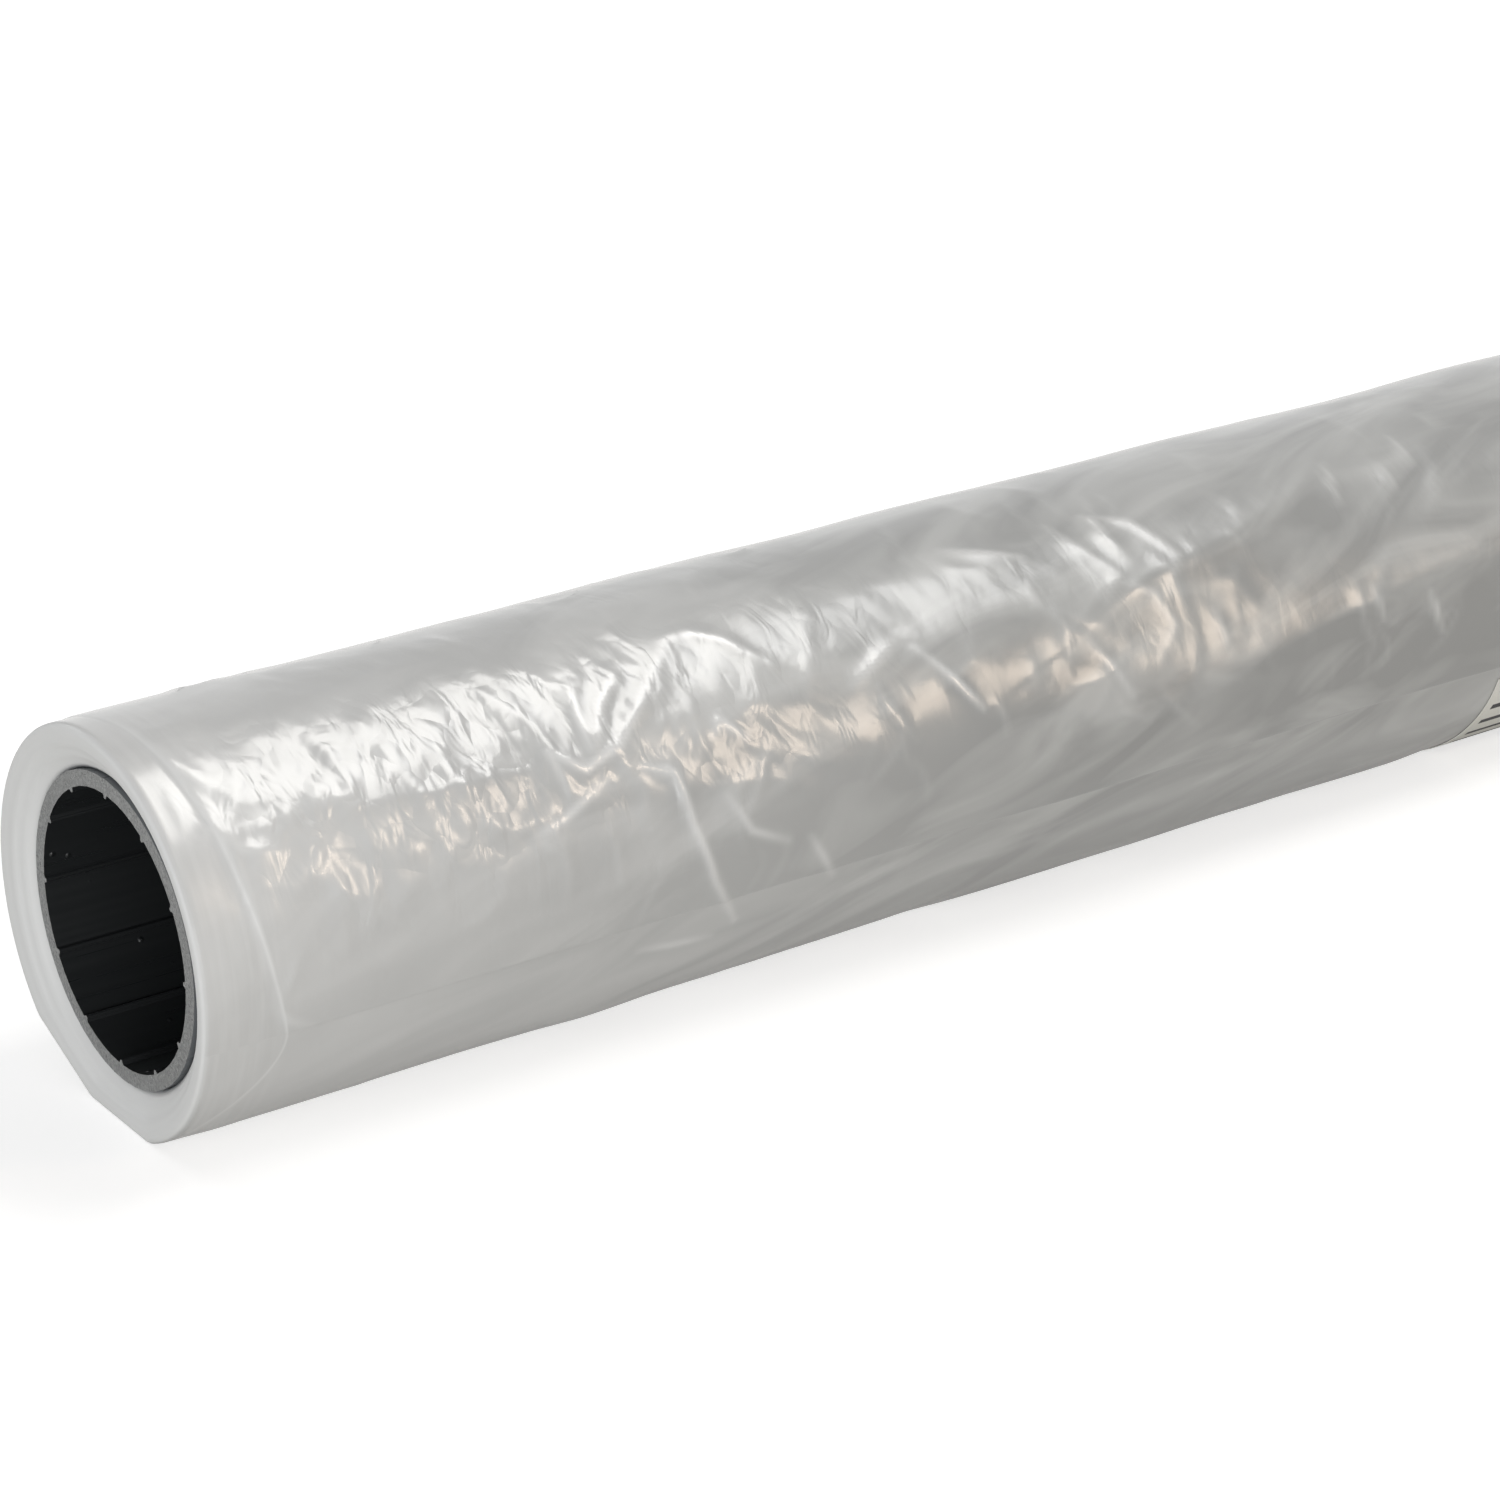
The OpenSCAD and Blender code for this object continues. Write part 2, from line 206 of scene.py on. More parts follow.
# The folds that the slack last turns have taken: points (mm from the near end, degrees round
# the axis), height and half width in mm, and how far the crest leans over
main_folds = [
    ([(130, 63), (126, 50), (125, 40)], 1.0, 4.0, 0.6),
    ([(145, 61), (134, 51), (127, 40)], 1.1, 3.6, 0.6),
    ([(165, 66), (147, 50), (134, 39), (122, 35), (113, 42), (115, 31)], 1.3, 4.2, 0.45),
    ([(163, 66), (171, 66), (179, 61), (189, 50)], 1.0, 3.2, -0.7),
    ([(139, 32), (148, 28), (151, 13), (157, -5), (166, -21)], 1.2, 2.6, 0.8),
    ([(163, 35), (167, 38), (173, 32)], 0.8, 3.0, 0.5),
    ([(163, 18), (169, 7), (181, 1)], 0.7, 3.6, -0.6),
    ([(237, 42), (251, 22)], 0.9, 3.0, 0.9),
    ([(230, 47), (212, 38)], 0.7, 3.2, -0.6),
    ([(103, 22), (112, 24), (127, 31)], 0.8, 4.0, 0.6),
    ([(189, 0), (198, -15)], 0.6, 4.0, 0.5),
    ([(135, -22), (159, -25)], 0.6, 4.0, 0.5),
    ([(263, 72), (285, 62)], 0.8, 4.0, 0.5),
    ([(22, -5), (25, -9), (31, -12)], 0.4, 2.2, 0.5),
    ([(5, 69), (8, 60), (7, 49), (5, 40)], 0.5, 2.4, 0.5),
    ([(15, 80), (13, 70), (17, 60), (24, 52)], 0.5, 2.6, -0.5),
    ([(11, 54), (19, 39), (30, 36)], 0.5, 2.6, 0.5),
    ([(24, 60), (12, 45), (6, 36)], 0.4, 2.4, 0.5),
    ([(313, 71), (326, 64), (333, 49), (326, 41)], 0.55, 3.0, -0.6),
    ([(300, 71), (304, 61), (311, 48), (303, 42)], 0.45, 3.0, 0.5),
    ([(292, 33), (299, 22), (303, 14)], 0.45, 3.0, 0.5),
    ([(308, 47), (320, 40), (324, 30), (316, 22)], 0.45, 3.0, -0.5),
    ([(339, 31), (341, 18)], 0.4, 3.2, 0.5),
    ([(403, 66), (399, 52)], 0.45, 3.2, 0.5),
    ([(422, 61), (421, 51)], 0.45, 3.2, -0.5),
    ([(434, 71), (433, 58)], 0.45, 3.2, 0.5),
    ([(398, 25), (400, 15)], 0.5, 3.0, 0.6),
    ([(420, 19), (424, 6)], 0.6, 2.6, -0.6),
    ([(30, 44), (80, 40), (118, 38)], 1.5, 10.0, 0.3),
    ([(404, 66), (361, 52), (318, 44), (290, 34)], 2.6, 13.0, 0.6),
    ([(440, 28), (367, 16), (337, 9), (295, 2), (279, -6)], 2.4, 13.0, 0.6),
    ([(214, 18), (238, 12), (291, -1), (351, -17), (390, -30)], 0.3, 9.0, 0.9),
    ([(455, -23), (434, -40), (404, -43), (378, -47)], 0.9, 9.0, 0.5),
    ([(108, -44), (130, -50), (152, -52)], 1.1, 10.0, 0.4),
    ([(560, 62), (500, 44), (440, 20)], 2.0, 13.0, 0.5),
    ([(720, 92), (650, 74), (590, 48)], 2.2, 14.0, 0.5),
    ([(790, 40), (710, 24), (640, 2)], 2.0, 13.0, -0.5),
    ([(900, 84), (840, 70), (780, 50)], 1.0, 14.0, 0.5),
    ([(350, 150), (260, 136), (180, 118)], 1.2, 14.0, 0.5),
    ([(330, 177), (270, 175), (210, 171)], 1.3, 12.0, 0.5),
    ([(640, 168), (560, 152), (480, 132)], 1.3, 14.0, -0.5),
    ([(880, 150), (810, 136), (740, 120)], 1.0, 14.0, 0.5),
]

# Small chance creases: short, mostly across the roll at a slant, thickest where the turns are slack
chance = np.random.default_rng(7)
small_folds, small_fold_count = [], 300
for _ in range(small_fold_count):
    x = 26 + 934 * chance.uniform(0, 1) ** 1.6
    deg = chance.choice([62, 54, 26, 38, 100, 150]) + chance.normal(0, 10)
    slant = math.radians(chance.choice([62, 118, 90]) + chance.normal(0, 16))
    length, bend = chance.uniform(9, 28), chance.normal(0, 0.5)
    points = [(x, deg)]
    for step in range(3):
        x += length / 3 * math.cos(slant + bend * step)
        deg -= length / 3 * math.sin(slant + bend * step) * deg_per_mm
        points.append((x, deg))
    height, half_width = chance.uniform(0.15, 0.55), chance.uniform(2.0, 4.4)
    small_folds.append((points, height, half_width, chance.uniform(-0.9, 0.9)))


def lay_fold(paleness, points, height, half_width, lean):
    """Adds one fold to the relief, steeper on one side, and the pale line along its crest."""
    xs, arcs = [p[0] for p in points], [p[1] / deg_per_mm for p in points]
    reach = 4 * half_width
    across = np.flatnonzero((from_end.max(1) > min(xs) - reach) & (from_end.min(1) < max(xs) + reach))
    around = np.flatnonzero((arc > min(arcs) - reach) & (arc < max(arcs) + reach))
    if not len(across) or not len(around):
        return
    patch = np.ix_(across, around)
    x, y = from_end[patch], np.broadcast_to(arc[around], (len(across), len(around)))
    nearest, side, share = np.full(x.shape, 1e9), np.zeros(x.shape), np.zeros(x.shape)
    for k in range(len(points) - 1):
        dx, dy = xs[k + 1] - xs[k], arcs[k + 1] - arcs[k]
        t = np.clip(((x - xs[k]) * dx + (y - arcs[k]) * dy) / (dx * dx + dy * dy), 0, 1)
        px, py = x - xs[k] - t * dx, y - arcs[k] - t * dy
        off = np.hypot(px, py)
        closer = off < nearest
        nearest = np.where(closer, off, nearest)
        side = np.where(closer, dx * py - dy * px, side)
        share = np.where(closer, (k + t) / (len(points) - 1), share)
    flank = half_width * np.where(side * lean > 0, 1 - abs(lean) * 0.6, 1.0)
    taper = 0.35 + 0.65 * np.sin(np.pi * np.clip(share, 0.02, 0.98))
    relief[patch] += height * taper * np.exp(-((nearest / flank) ** 1.3))
    line = paleness * min(height, 1.0) * taper * np.exp(-((nearest / 1.35) ** 2)) * (half_width < 8)
    pale[patch] = np.maximum(pale[patch], line)


def smooth_noise(u, v, cell_mm, seed):
    """Smooth noise from -1 to 1 over the unrolled film, with cells of one size."""
    values = np.random.default_rng(seed).uniform(-1, 1, (257, 257))
    gu, gv = u / cell_mm, v / cell_mm
    iu, iv = np.floor(gu).astype(int), np.floor(gv).astype(int)
    fu, fv = gu - iu, gv - iv
    fu, fv = fu * fu * (3 - 2 * fu), fv * fv * (3 - 2 * fv)
    a, b = values[iu % 257, iv % 257], values[(iu + 1) % 257, iv % 257]
    c, d = values[iu % 257, (iv + 1) % 257], values[(iu + 1) % 257, (iv + 1) % 257]
    return (a * (1 - fu) + b * fu) * (1 - fv) + (c * (1 - fu) + d * fu) * fv


relief, pale = np.zeros(from_end.shape), np.zeros(from_end.shape)
for fold in main_folds:
    lay_fold(0.75, *fold)
for fold in small_folds:
    lay_fold(0.25, *fold)
turn_arc = np.broadcast_to(-shares * 360 / deg_per_mm, from_end.shape)
meet = ease((shares - 0.88) / 0.12)


def turn_noise(cell_mm, seed, along=(1, 0), around=(0, 1), drift=0.0):
    """Smooth noise over the last turn, which near the free edge runs over into the turn below."""
    fields = []
    for v in (turn_arc, turn_arc + 360 / deg_per_mm):
        x, y = from_end + drift, v + drift
        fields.append(smooth_noise(along[0] * x + along[1] * y, around[0] * x + around[1] * y, cell_mm, seed))
    return fields[0] * (1 - meet) + fields[1] * meet


# How slack the last turns are: round the roll, most on the upper front and again on the back;
# along it, most in the first 175 mm, where the star fold lies, and again by the far end
upper_front = np.exp(-(((front_degs - 42) / 36) ** 2))
upper_back = np.exp(-(((front_degs - 156) / 30) ** 2))
slack = 0.2 + 0.8 * upper_front + 0.6 * upper_back
slack = slack * (0.75 + 0.25 * turn_noise(60, 5))
slack = slack * (0.65 + 0.35 * ease((from_end - 40) / 60))
drift = 10 * turn_noise(38, 3)
slack_along = 1 - 0.7 * ease((from_end - 175) / 90) + 0.3 * ease((from_end - 520) / 80)
slack_along = slack_along + 0.5 * ease((from_end - 760) / 120)
# Ridged noise: where smooth noise passes zero, the film has a crease. Near the end the creases
# run any way, finer ones beside the rim; further along they follow the long helical folds, with
# cells 3 times as long. Each has its cell and depth in mm and its seed
sharp, soft = 0.012, 0.035
for cell, depth, stretch, seed in ((34, 0.9, 0.9, 11), (17, 0.5, 0.7, 12), (8, 0.2, 0.6, 13)):
    field = turn_noise(cell, seed, (1, 0.35), (0, stretch), drift)
    relief += slack * slack_along * depth * (1 - 2 * np.sqrt(field**2 + sharp))
by_end = np.exp(-(((from_end - 66) / 46) ** 2)) * np.exp(-(((front_degs - 45) / 30) ** 2))
for cell, depth, seed in ((13, 0.45, 16), (7, 0.22, 17)):
    field = turn_noise(cell, seed, (1, 0.5), (-0.3, 0.8), 1.5 * drift)
    relief += by_end * depth * (1 - 2 * np.sqrt(field**2 + sharp))
for cell, depth, seed in ((36, 1.1, 14), (19, 0.4, 15)):
    field = turn_noise(cell, seed, (0.33, 0), (-0.28, 1), 0.5 * drift)
    relief += (0.4 + 0.6 * slack) * (1.1 - slack_along) * depth * (1 - 2 * np.sqrt(field**2 + soft))

# The film is smooth under the label and along both rims, and it sags a little just above the floor
room_beside_mm, room_over_mm = 24, 5
beside_label = ease((np.abs(from_end - roll_half_mm) - label_half_mm) / room_beside_mm)
off_label_deg = np.maximum(front_degs - label_top_deg, label_low_deg - front_degs)
over_label = ease(off_label_deg / deg_per_mm / room_over_mm)
off_ends = ease(np.minimum(from_end, roll_end_mm - from_end) / 13 - 0.22)
loose = np.maximum(beside_label, over_label) * off_ends
sag_mm, sag_above_deg, sag_wide_deg = 0.5, 16, 14
sag = sag_mm * np.exp(-(((front_degs - flat_edge_deg - sag_above_deg) / sag_wide_deg) ** 2))
# An older flat, from before the roll was turned over to where it lies, dies out along the roll
old_flat_deg, old_flat_mm = 23.4, 300


def outside_mm(from_end, free_mm):
    """The film's radius: as far out as it would be if free, or less where a flat holds it in."""
    downward, old_below = np.cos(np.radians(degs + 90)), np.cos(np.radians(degs + 90 + old_flat_deg))
    old_reach = roll_r_mm - (roll_r_mm - axis_h_mm) * ease(1.5 - 1.5 * from_end / old_flat_mm)
    on_floor = np.where(downward > 0.5, axis_h_mm / np.maximum(downward, 0.5), 2 * roll_r_mm)
    on_old = np.where(old_below > 0.5, old_reach / np.maximum(old_below, 0.5), 2 * roll_r_mm)
    return np.minimum(free_mm, np.minimum(on_floor, on_old))


# The free edge is pressed down on to the turn below, so that only part of its step shows
pressed_mm = 0.26
wound_mm = roll_r_mm + turn_mm * shares - pressed_mm * ease((shares - 0.985) / 0.015)
under_mm = wound_mm + lowered * (roll_r_mm - wound_mm)
skin_mm = outside_mm(from_end, under_mm + loose * (relief + sag))


def end_rows(rim_mm):
    """The dished end face and its rounded rim: depth behind the roll's end, and radius."""
    rows = []
    bands = 7
    for band in range(bands):
        for part in (0.06, 0.96):
            share = (band + part) / bands
            behind = 0.12 * (1 - part) * (0.6 + 0.4 * math.sin(2.7 * band))
            depth = (core_recess_mm + first_turn_back_mm) * (1 - share) ** 1.6 + behind
            rows.append((depth + 0 * rim_mm, film_in_mm + share * (rim_mm - rim_round_mm - film_in_mm)))
    for turn in (15, 30, 45, 60, 75):
        c, s = math.cos(math.radians(turn)), math.sin(math.radians(turn))
        rows.append((rim_round_mm * (1 - c) + 0 * rim_mm, rim_mm - rim_round_mm * (1 - s)))
    return rows


near_face = end_rows(outside_mm(0.0, np.full(columns + 1, roll_r_mm)))
far_face = end_rows(outside_mm(roll_end_mm, wound_mm))[::-1]
x_rows = np.vstack([[d for d, r in near_face], from_end, [roll_end_mm - d for d, r in far_face]])
r_rows = np.vstack([[r for d, r in near_face], skin_mm, [r for d, r in far_face]])
angles = np.radians(degs)
heights_mm = np.maximum(axis_h_mm + r_rows * np.sin(angles), 0)
film_points = np.stack([x_rows - roll_half_mm, -r_rows * np.cos(angles), heights_mm], axis=-1)
row_count, width = r_rows.shape
here = np.arange(row_count * width).reshape(row_count, width)
below, beside = np.roll(here, -1, 0), np.roll(here, -1, 1)
film_faces = np.stack([here, below, np.roll(below, -1, 1), beside], axis=-1).reshape(-1, 4)
film_mesh = bpy.data.meshes.new("wound_film")
film_mesh.from_pydata((film_points.reshape(-1, 3) * mm).tolist(), [], film_faces.tolist())
film_mesh.shade_smooth()
# Where each point lies on the unrolled last turn, in metres, and how slack the film is there
unrolled = film_mesh.attributes.new("unrolled", "FLOAT_VECTOR", "POINT")
places = np.stack([x_rows, np.broadcast_to(turn_arc[0], x_rows.shape), r_rows], axis=-1) * mm
unrolled.data.foreach_set("vector", places.astype(np.float32).ravel())
slackness = film_mesh.attributes.new("slackness", "FLOAT", "POINT")
by_far_end = np.exp(-(((from_end - 900) / 90) ** 2)) * np.exp(-(((front_degs - 50) / 50) ** 2))
full_slack = loose * (slack * slack_along + 0.6 * by_end + 0.7 * by_far_end)
full_slack = np.vstack([np.zeros((len(near_face), width)), full_slack, np.zeros((len(far_face), width))])
slackness.data.foreach_set("value", full_slack.astype(np.float32).ravel())
# The pale lines: along the crests of the folds, and along the last turn's set back side edge
crest = film_mesh.attributes.new("crest", "FLOAT", "POINT")
pale = loose * pale
pale[len(strip_rows)] = 0.5
full_crest = np.vstack([np.zeros((len(near_face), width)), pale, np.zeros((len(far_face), width))])
crest.data.foreach_set("value", full_crest.astype(np.float32).ravel())
wound_film = bpy.data.objects.new("wound_film", film_mesh)
bpy.context.scene.collection.objects.link(wound_film)

# Low-density polythene film, blown, folded and wound: each clear turn reflects a little, so that
# many of them look silvery grey and milky, with the sharp gloss of the last turn on top. The colour
# is painted paler towards both ends: painted light, for the ends that the lamps light more than the
# middle. Folds that lie flat under it show as soft lighter clouds, the edges of the turns as fine
# streaks, and the rims and the end faces are rubbed matt.
grey_hex, milk_hex, crest_hex = "#7f807f", "#a2a3a2", "#d6d7d7"
painted_light_hex, end_hex, shade_hex = "#c4c5c5", "#cecfcf", "#747982"
cloud_mm, crease_mm, facet_mm, turn_edge_mm, shade_mm = 22.0, 9.0, 9.0, 2.4, 0.9
polythene = bpy.data.materials.new("polythene_film_wound")
polythene.use_nodes = True
tree = polythene.node_tree
tree.nodes.clear()
spread = add(tree, "ShaderNodeAttribute", {}, attribute_name="unrolled").outputs["Vector"]
free_play = add(tree, "ShaderNodeAttribute", {}, attribute_name="slackness").outputs["Fac"]
spread_parts = add(tree, "ShaderNodeSeparateXYZ", {"Vector": spread})
slanted = add(
    tree, "ShaderNodeMapping", {"Vector": spread, "Rotation": (0, 0, 0.5), "Scale": (1, 0.5, 1)}
).outputs[0]
helical = add(
    tree, "ShaderNodeMapping", {"Vector": spread, "Rotation": (0, 0, 0.27), "Scale": (3, 1, 1)},
    vector_type="TEXTURE",
).outputs[0]
clouds = add(
    tree, "ShaderNodeTexNoise",
    {"Vector": helical, "Scale": 1 / (cloud_mm * mm), "Detail": 3.0, "Roughness": 0.42, "Distortion": 1.2},
)
cloudy = add(tree, "ShaderNodeMapRange", {"Value": clouds.outputs["Fac"], 1: 0.38, 2: 0.66})
body = add(
    tree, "ShaderNodeMix", {0: cloudy.outputs[0], 6: linear(grey_hex), 7: linear(milk_hex)}, data_type="RGBA"
)
middle_m = 0.5
from_middle = {0: spread_parts.outputs["X"], 1: middle_m}
past_middle = add(tree, "ShaderNodeMath", from_middle, operation="SUBTRACT").outputs[0]
off_middle = add(tree, "ShaderNodeMath", {0: past_middle}, operation="ABSOLUTE").outputs[0]
# Painted light: the film is painted paler towards both ends, for the ends that the lamps light more than the
# middle
outer = add(tree, "ShaderNodeMapRange", {"Value": off_middle, 1: 0.22, 2: 0.50, 4: 0.8})
body_painted_light = add(
    tree, "ShaderNodeMix", {0: outer.outputs[0], 6: body.outputs[2], 7: linear(painted_light_hex)}, data_type="RGBA"
)
rim_m, roll_r_m = rim_round_mm * mm, roll_r_mm * mm
end_m = roll_half_mm * mm
rim_range = {"Value": off_middle, 1: end_m - 0.5 * rim_m, 2: end_m - 0.1 * rim_m}
on_rim = add(tree, "ShaderNodeMapRange", rim_range, interpolation_type="SMOOTHSTEP").outputs[0]
out_from_axis = spread_parts.outputs["Z"]
inner_range = {"Value": out_from_axis, 1: roll_r_m - 1.3 * rim_m, 2: roll_r_m - 0.7 * rim_m, 3: 1.0, 4: 0.0}
within_rim = add(tree, "ShaderNodeMapRange", inner_range).outputs[0]
beyond = add(tree, "ShaderNodeMapRange", {"Value": off_middle, 1: 0.488, 2: 0.491}).outputs[0]
on_face = add(tree, "ShaderNodeMath", {0: within_rim, 1: beyond}, operation="MULTIPLY").outputs[0]
at_end = add(tree, "ShaderNodeMath", {0: on_rim, 1: on_face}, operation="MAXIMUM")
body_end = add(
    tree, "ShaderNodeMix",
    {0: at_end.outputs[0], 6: body_painted_light.outputs[2], 7: linear(end_hex)}, data_type="RGBA",
)
along_crest = add(tree, "ShaderNodeAttribute", {}, attribute_name="crest").outputs["Fac"]
ringed = add(tree, "ShaderNodeMapping", {"Vector": spread, "Scale": (1, 0.06, 1)}).outputs[0]
rings = add(tree, "ShaderNodeTexNoise", {"Vector": ringed, "Scale": 1 / (turn_edge_mm * mm), "Detail": 3.0})
strip_range = {"Value": off_middle, 1: 0.470, 2: 0.482}
on_strip = add(tree, "ShaderNodeMapRange", strip_range, interpolation_type="SMOOTHSTEP")
all_streaks = add(tree, "ShaderNodeMapRange", {"Value": rings.outputs["Fac"], 1: 0.4, 2: 0.72, 4: 0.22})
on_both = {0: all_streaks.outputs[0], 1: on_strip.outputs[0]}
streaks = add(tree, "ShaderNodeMath", on_both, operation="MULTIPLY")
paler = add(tree, "ShaderNodeMath", {0: streaks.outputs[0], 1: along_crest}, operation="MAXIMUM")
lined = add(
    tree, "ShaderNodeMix",
    {0: paler.outputs[0], 6: body_end.outputs[2], 7: linear(crest_hex)}, data_type="RGBA",
)
film_in_m, shade_out_m = film_in_mm * mm, (film_in_mm + shade_mm) * mm
core_range = {"Value": out_from_axis, 1: film_in_m, 2: shade_out_m, 3: 0.8, 4: 0.0}
by_core = add(tree, "ShaderNodeMapRange", core_range)
film_colour = add(
    tree, "ShaderNodeMix",
    {0: by_core.outputs[0], 6: lined.outputs[2], 7: linear(shade_hex)}, data_type="RGBA",
)
fine = add(
    tree, "ShaderNodeTexNoise",
    {"Vector": slanted, "Scale": 1 / (crease_mm * mm), "Detail": 2.0, "Roughness": 0.45, "Distortion": 1.0},
)
warp_mm = 8
pushed = {0: fine.outputs["Color"], 1: (warp_mm * mm,) * 3, 2: spread}
warped = add(tree, "ShaderNodeVectorMath", pushed, operation="MULTIPLY_ADD").outputs[0]
facets = add(tree, "ShaderNodeTexVoronoi", {"Vector": warped, "Scale": 1 / (facet_mm * mm)})
both_kinds = {0: facets.outputs["Distance"], 1: 0.6, 2: fine.outputs["Fac"]}
crumpled = add(tree, "ShaderNodeMath", both_kinds, operation="MULTIPLY_ADD").outputs[0]
creased = add(tree, "ShaderNodeMath", {0: crumpled, 1: free_play}, operation="MULTIPLY").outputs[0]
ring_share = {0: rings.outputs["Fac"], 1: at_end.outputs[0]}
end_rings = add(tree, "ShaderNodeMath", ring_share, operation="MULTIPLY")
low_rings = add(tree, "ShaderNodeMath", {0: end_rings.outputs[0], 1: 0.12}, operation="MULTIPLY")
film_height = add(tree, "ShaderNodeMath", {0: creased, 1: low_rings.outputs[0]}, operation="ADD").outputs[0]
film_bump = add(tree, "ShaderNodeBump", {"Height": film_height, "Strength": 0.25, "Distance": 0.003})
worn_range = {"Value": off_middle, 1: end_m - 1.6 * rim_m, 2: end_m - 0.7 * rim_m}
by_rim = add(tree, "ShaderNodeMapRange", worn_range, interpolation_type="SMOOTHSTEP").outputs[0]
worn = add(tree, "ShaderNodeMath", {0: at_end.outputs[0], 1: by_rim}, operation="MAXIMUM").outputs[0]
glazed = add(tree, "ShaderNodeMapRange", {"Value": worn, 3: 1.0, 4: 0.1})
matted = add(tree, "ShaderNodeMapRange", {"Value": worn, 3: 0.36, 4: 0.7})
film_skin = add(
    tree, "ShaderNodeBsdfPrincipled",
    {
        "Base Color": film_colour.outputs[2],
        "Roughness": matted.outputs[0],
        "IOR": 1.7,
        "Coat Weight": glazed.outputs[0],
        "Coat Roughness": 0.19,
        "Coat IOR": 1.5,
        "Normal": film_bump.outputs[0],
        "Coat Normal": film_bump.outputs[0],
    },
)
add(tree, "ShaderNodeOutputMaterial", {"Surface": film_skin.outputs[0]})
film_mesh.materials.append(polythene)
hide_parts("film_roll")
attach(wound_film, "root")

# The label: a slip of uncoated white paper, stuck on by hand at the middle of the length. It is
# printed with plain dark bars that say nothing.
paper_hex, ink_hex = "#e4e4df", "#3c3c3e"
paper_grain_mm, bar_pitch_mm, margin_mm = 0.8, 8.0, 3.5
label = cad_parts["label"]
paper = bpy.data.materials.new("uncoated_paper")
paper.use_nodes = True
tree = paper.node_tree
tree.nodes.clear()
place = add(tree, "ShaderNodeTexCoord", {}).outputs["Object"]
grain = add(tree, "ShaderNodeTexNoise", {"Vector": place, "Scale": 1 / (paper_grain_mm * mm), "Detail": 4.0})
paper_relief = {"Height": grain.outputs["Fac"], "Strength": 0.15, "Distance": 0.0002}
paper_bump = add(tree, "ShaderNodeBump", paper_relief)
spot = add(tree, "ShaderNodeSeparateXYZ", {"Vector": place}).outputs
rise = add(tree, "ShaderNodeMath", {0: spot["Z"], 1: axis_h_mm * mm}, operation="SUBTRACT").outputs[0]
front = add(tree, "ShaderNodeMath", {0: spot["Y"], 1: -1.0}, operation="MULTIPLY").outputs[0]
turned = add(tree, "ShaderNodeMath", {0: rise, 1: front}, operation="ARCTAN2").outputs[0]
by_pitch = {0: turned, 1: roll_r_mm / bar_pitch_mm}
lines_up = add(tree, "ShaderNodeMath", by_pitch, operation="MULTIPLY").outputs[0]
in_line = add(tree, "ShaderNodeMath", {0: lines_up}, operation="FRACT").outputs[0]
bar = add(tree, "ShaderNodeMath", {0: in_line, 1: 0.3}, operation="LESS_THAN").outputs[0]
off_mid = add(tree, "ShaderNodeMath", {0: spot["X"]}, operation="ABSOLUTE").outputs[0]
half_bar_m = (label_half_mm - margin_mm) * mm
inside = add(tree, "ShaderNodeMath", {0: off_mid, 1: half_bar_m}, operation="LESS_THAN").outputs[0]
printed = add(tree, "ShaderNodeMath", {0: bar, 1: inside}, operation="MULTIPLY").outputs[0]
paper_colour = add(
    tree, "ShaderNodeMix", {0: printed, 6: linear(paper_hex), 7: linear(ink_hex)}, data_type="RGBA"
)
paper_skin = add(
    tree, "ShaderNodeBsdfPrincipled",
    {"Base Color": paper_colour.outputs[2], "Roughness": 0.7, "Normal": paper_bump.outputs[0]},
)
add(tree, "ShaderNodeOutputMaterial", {"Surface": paper_skin.outputs[0]})
label.data.materials.clear()
label.data.materials.append(paper)

# The studio: a pale board in a white surround. A softbox and a strip overhead light the upper
# front of the roll, a warm lamp in front makes the second band, a low wide one stands at the
# left, and there are one lamp at each end and one behind. The board looks whiter further away,
# and as the film's gloss sees it, it carries a painted shadow along the roll.
floor_mesh = bpy.data.meshes.new("floor")
reach_m = 6.0
floor_corners = [(x * reach_m, y * reach_m, 0) for x, y in ((-1, -1), (1, -1), (1, 1), (-1, 1))]
floor_mesh.from_pydata(floor_corners, [], [(0, 1, 2, 3)])
floor = bpy.data.objects.new("floor", floor_mesh)
bpy.context.scene.collection.objects.link(floor)
board = bpy.data.materials.new("pale_studio_board")
board.use_nodes = True
tree = board.node_tree
tree.nodes.clear()


def seen_rays(tree, in_gloss):
    """One for the camera's rays and those through glass, and in_gloss for those that gloss sends out."""
    ray = add(tree, "ShaderNodeLightPath", {}).outputs
    gloss = add(tree, "ShaderNodeMath", {0: ray["Is Glossy Ray"], 1: in_gloss}, operation="MULTIPLY")
    seen = add(tree, "ShaderNodeMath", {0: ray["Is Camera Ray"], 1: gloss.outputs[0]}, operation="MAXIMUM")
    both = {0: seen.outputs[0], 1: ray["Is Transmission Ray"]}
    return add(tree, "ShaderNodeMath", both, operation="MAXIMUM").outputs[0]


matt = add(tree, "ShaderNodeBsdfDiffuse", {"Color": linear("#a4a29b")})
pale_matt = add(tree, "ShaderNodeBsdfDiffuse", {"Color": linear("#d2d2d2")})
on_board = add(tree, "ShaderNodeTexCoord", {}).outputs["Object"]
far_off = add(tree, "ShaderNodeVectorMath", {0: on_board}, operation="LENGTH").outputs["Value"]
whiter = add(tree, "ShaderNodeMapRange", {"Value": far_off, 1: 0.8, 2: 2.2, 3: 0.62, 4: 0.87}).outputs[0]
glow = add(tree, "ShaderNodeEmission", {"Color": (1, 1, 1, 1), "Strength": whiter})
lit = add(tree, "ShaderNodeAddShader", {0: pale_matt.outputs[0], 1: glow.outputs[0]})
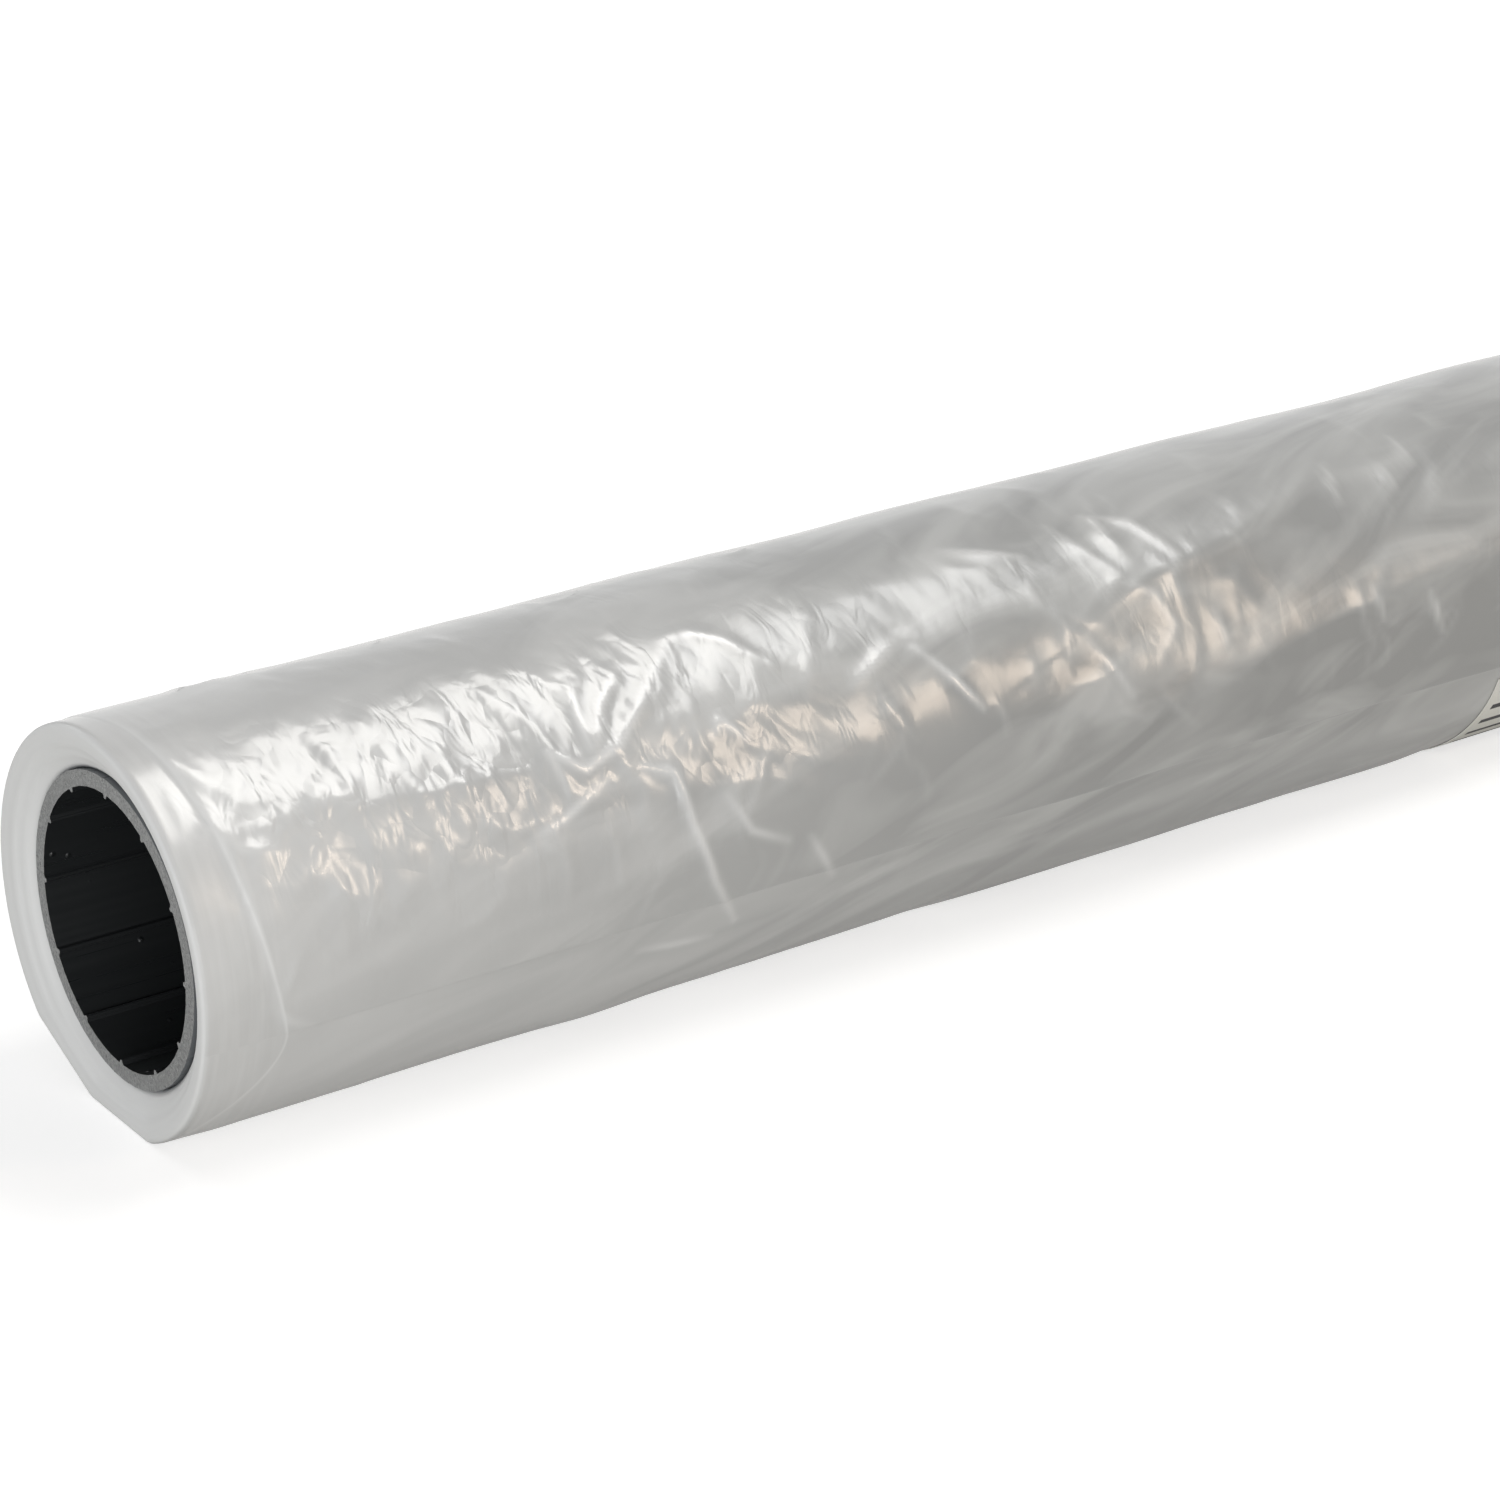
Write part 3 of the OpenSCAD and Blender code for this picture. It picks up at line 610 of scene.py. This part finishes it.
# Painted shadow: as the film's gloss sees it, the board is painted darker within a few centimetres of the
# roll's line of contact
across_board = add(tree, "ShaderNodeSeparateXYZ", {"Vector": on_board}).outputs["Y"]
off_line = add(tree, "ShaderNodeMath", {0: across_board}, operation="ABSOLUTE").outputs[0]
painted_shadow_range = {"Value": off_line, 1: 0.028, 2: 0.055, 3: 0.36, 4: 0.76}
gloss_share_painted_shadow = add(tree, "ShaderNodeMapRange", painted_shadow_range).outputs[0]
looks = {0: seen_rays(tree, gloss_share_painted_shadow), 1: matt.outputs[0], 2: lit.outputs[0]}
board_mix = add(tree, "ShaderNodeMixShader", looks)
add(tree, "ShaderNodeOutputMaterial", {"Surface": board_mix.outputs[0]})
floor_mesh.materials.append(board)

world = bpy.data.worlds.new("studio")
bpy.context.scene.world = world
world.use_nodes = True
tree = world.node_tree
tree.nodes.clear()
room = add(tree, "ShaderNodeMapRange", {"Value": seen_rays(tree, 0.86), 3: 0.25, 4: 1.0})
background = add(tree, "ShaderNodeBackground", {"Color": (1, 1, 1, 1), "Strength": room.outputs[0]})
add(tree, "ShaderNodeOutputWorld", {"Surface": background.outputs[0]})


def softbox(name, place, aim, width, height, watts, colour, shape="RECTANGLE"):
    """A flat lamp, facing the point that it is aimed at."""
    lamp = bpy.data.lights.new(name, "AREA")
    lamp.shape = shape
    lamp.size, lamp.size_y = width, height
    lamp.energy = watts
    lamp.color = linear(colour)[:3]
    holder = bpy.data.objects.new(name, lamp)
    bpy.context.scene.collection.objects.link(holder)
    holder.location = place
    holder.rotation_euler = (Vector(aim) - Vector(place)).to_track_quat("-Z", "Y").to_euler()


softbox("overhead_softbox", (0.14, -0.10, 1.25), (0.14, -0.09, 0.0), 0.38, 0.93, 6.6, "#fffdf9")
softbox("overhead_strip", (0.43, -0.11, 1.25), (0.43, -0.10, 0.0), 0.22, 0.58, 1.7, "#ffffff")
softbox("front_softbox", (0.80, -1.52, 0.95), (-0.25, 0.0, 0.05), 0.36, 0.66, 4.8, "#ffe9d2", "ELLIPSE")
softbox("left_softbox", (-1.40, -1.50, 0.24), (-0.30, 0.0, 0.05), 1.5, 0.5, 21.0, "#ffffff")
softbox("end_softbox", (-2.30, -0.25, 0.26), (-0.50, 0.0, 0.05), 0.8, 0.44, 7.4, "#ffffff")
softbox("back_softbox", (-0.75, 1.60, 0.60), (-0.10, 0.0, 0.05), 0.9, 0.45, 8.0, "#ffffff")
softbox("far_end_softbox", (2.30, 0.30, 0.26), (0.50, 0.0, 0.05), 0.8, 0.44, 10.0, "#ffffff")

bpy.context.scene.view_settings.view_transform = "Standard"
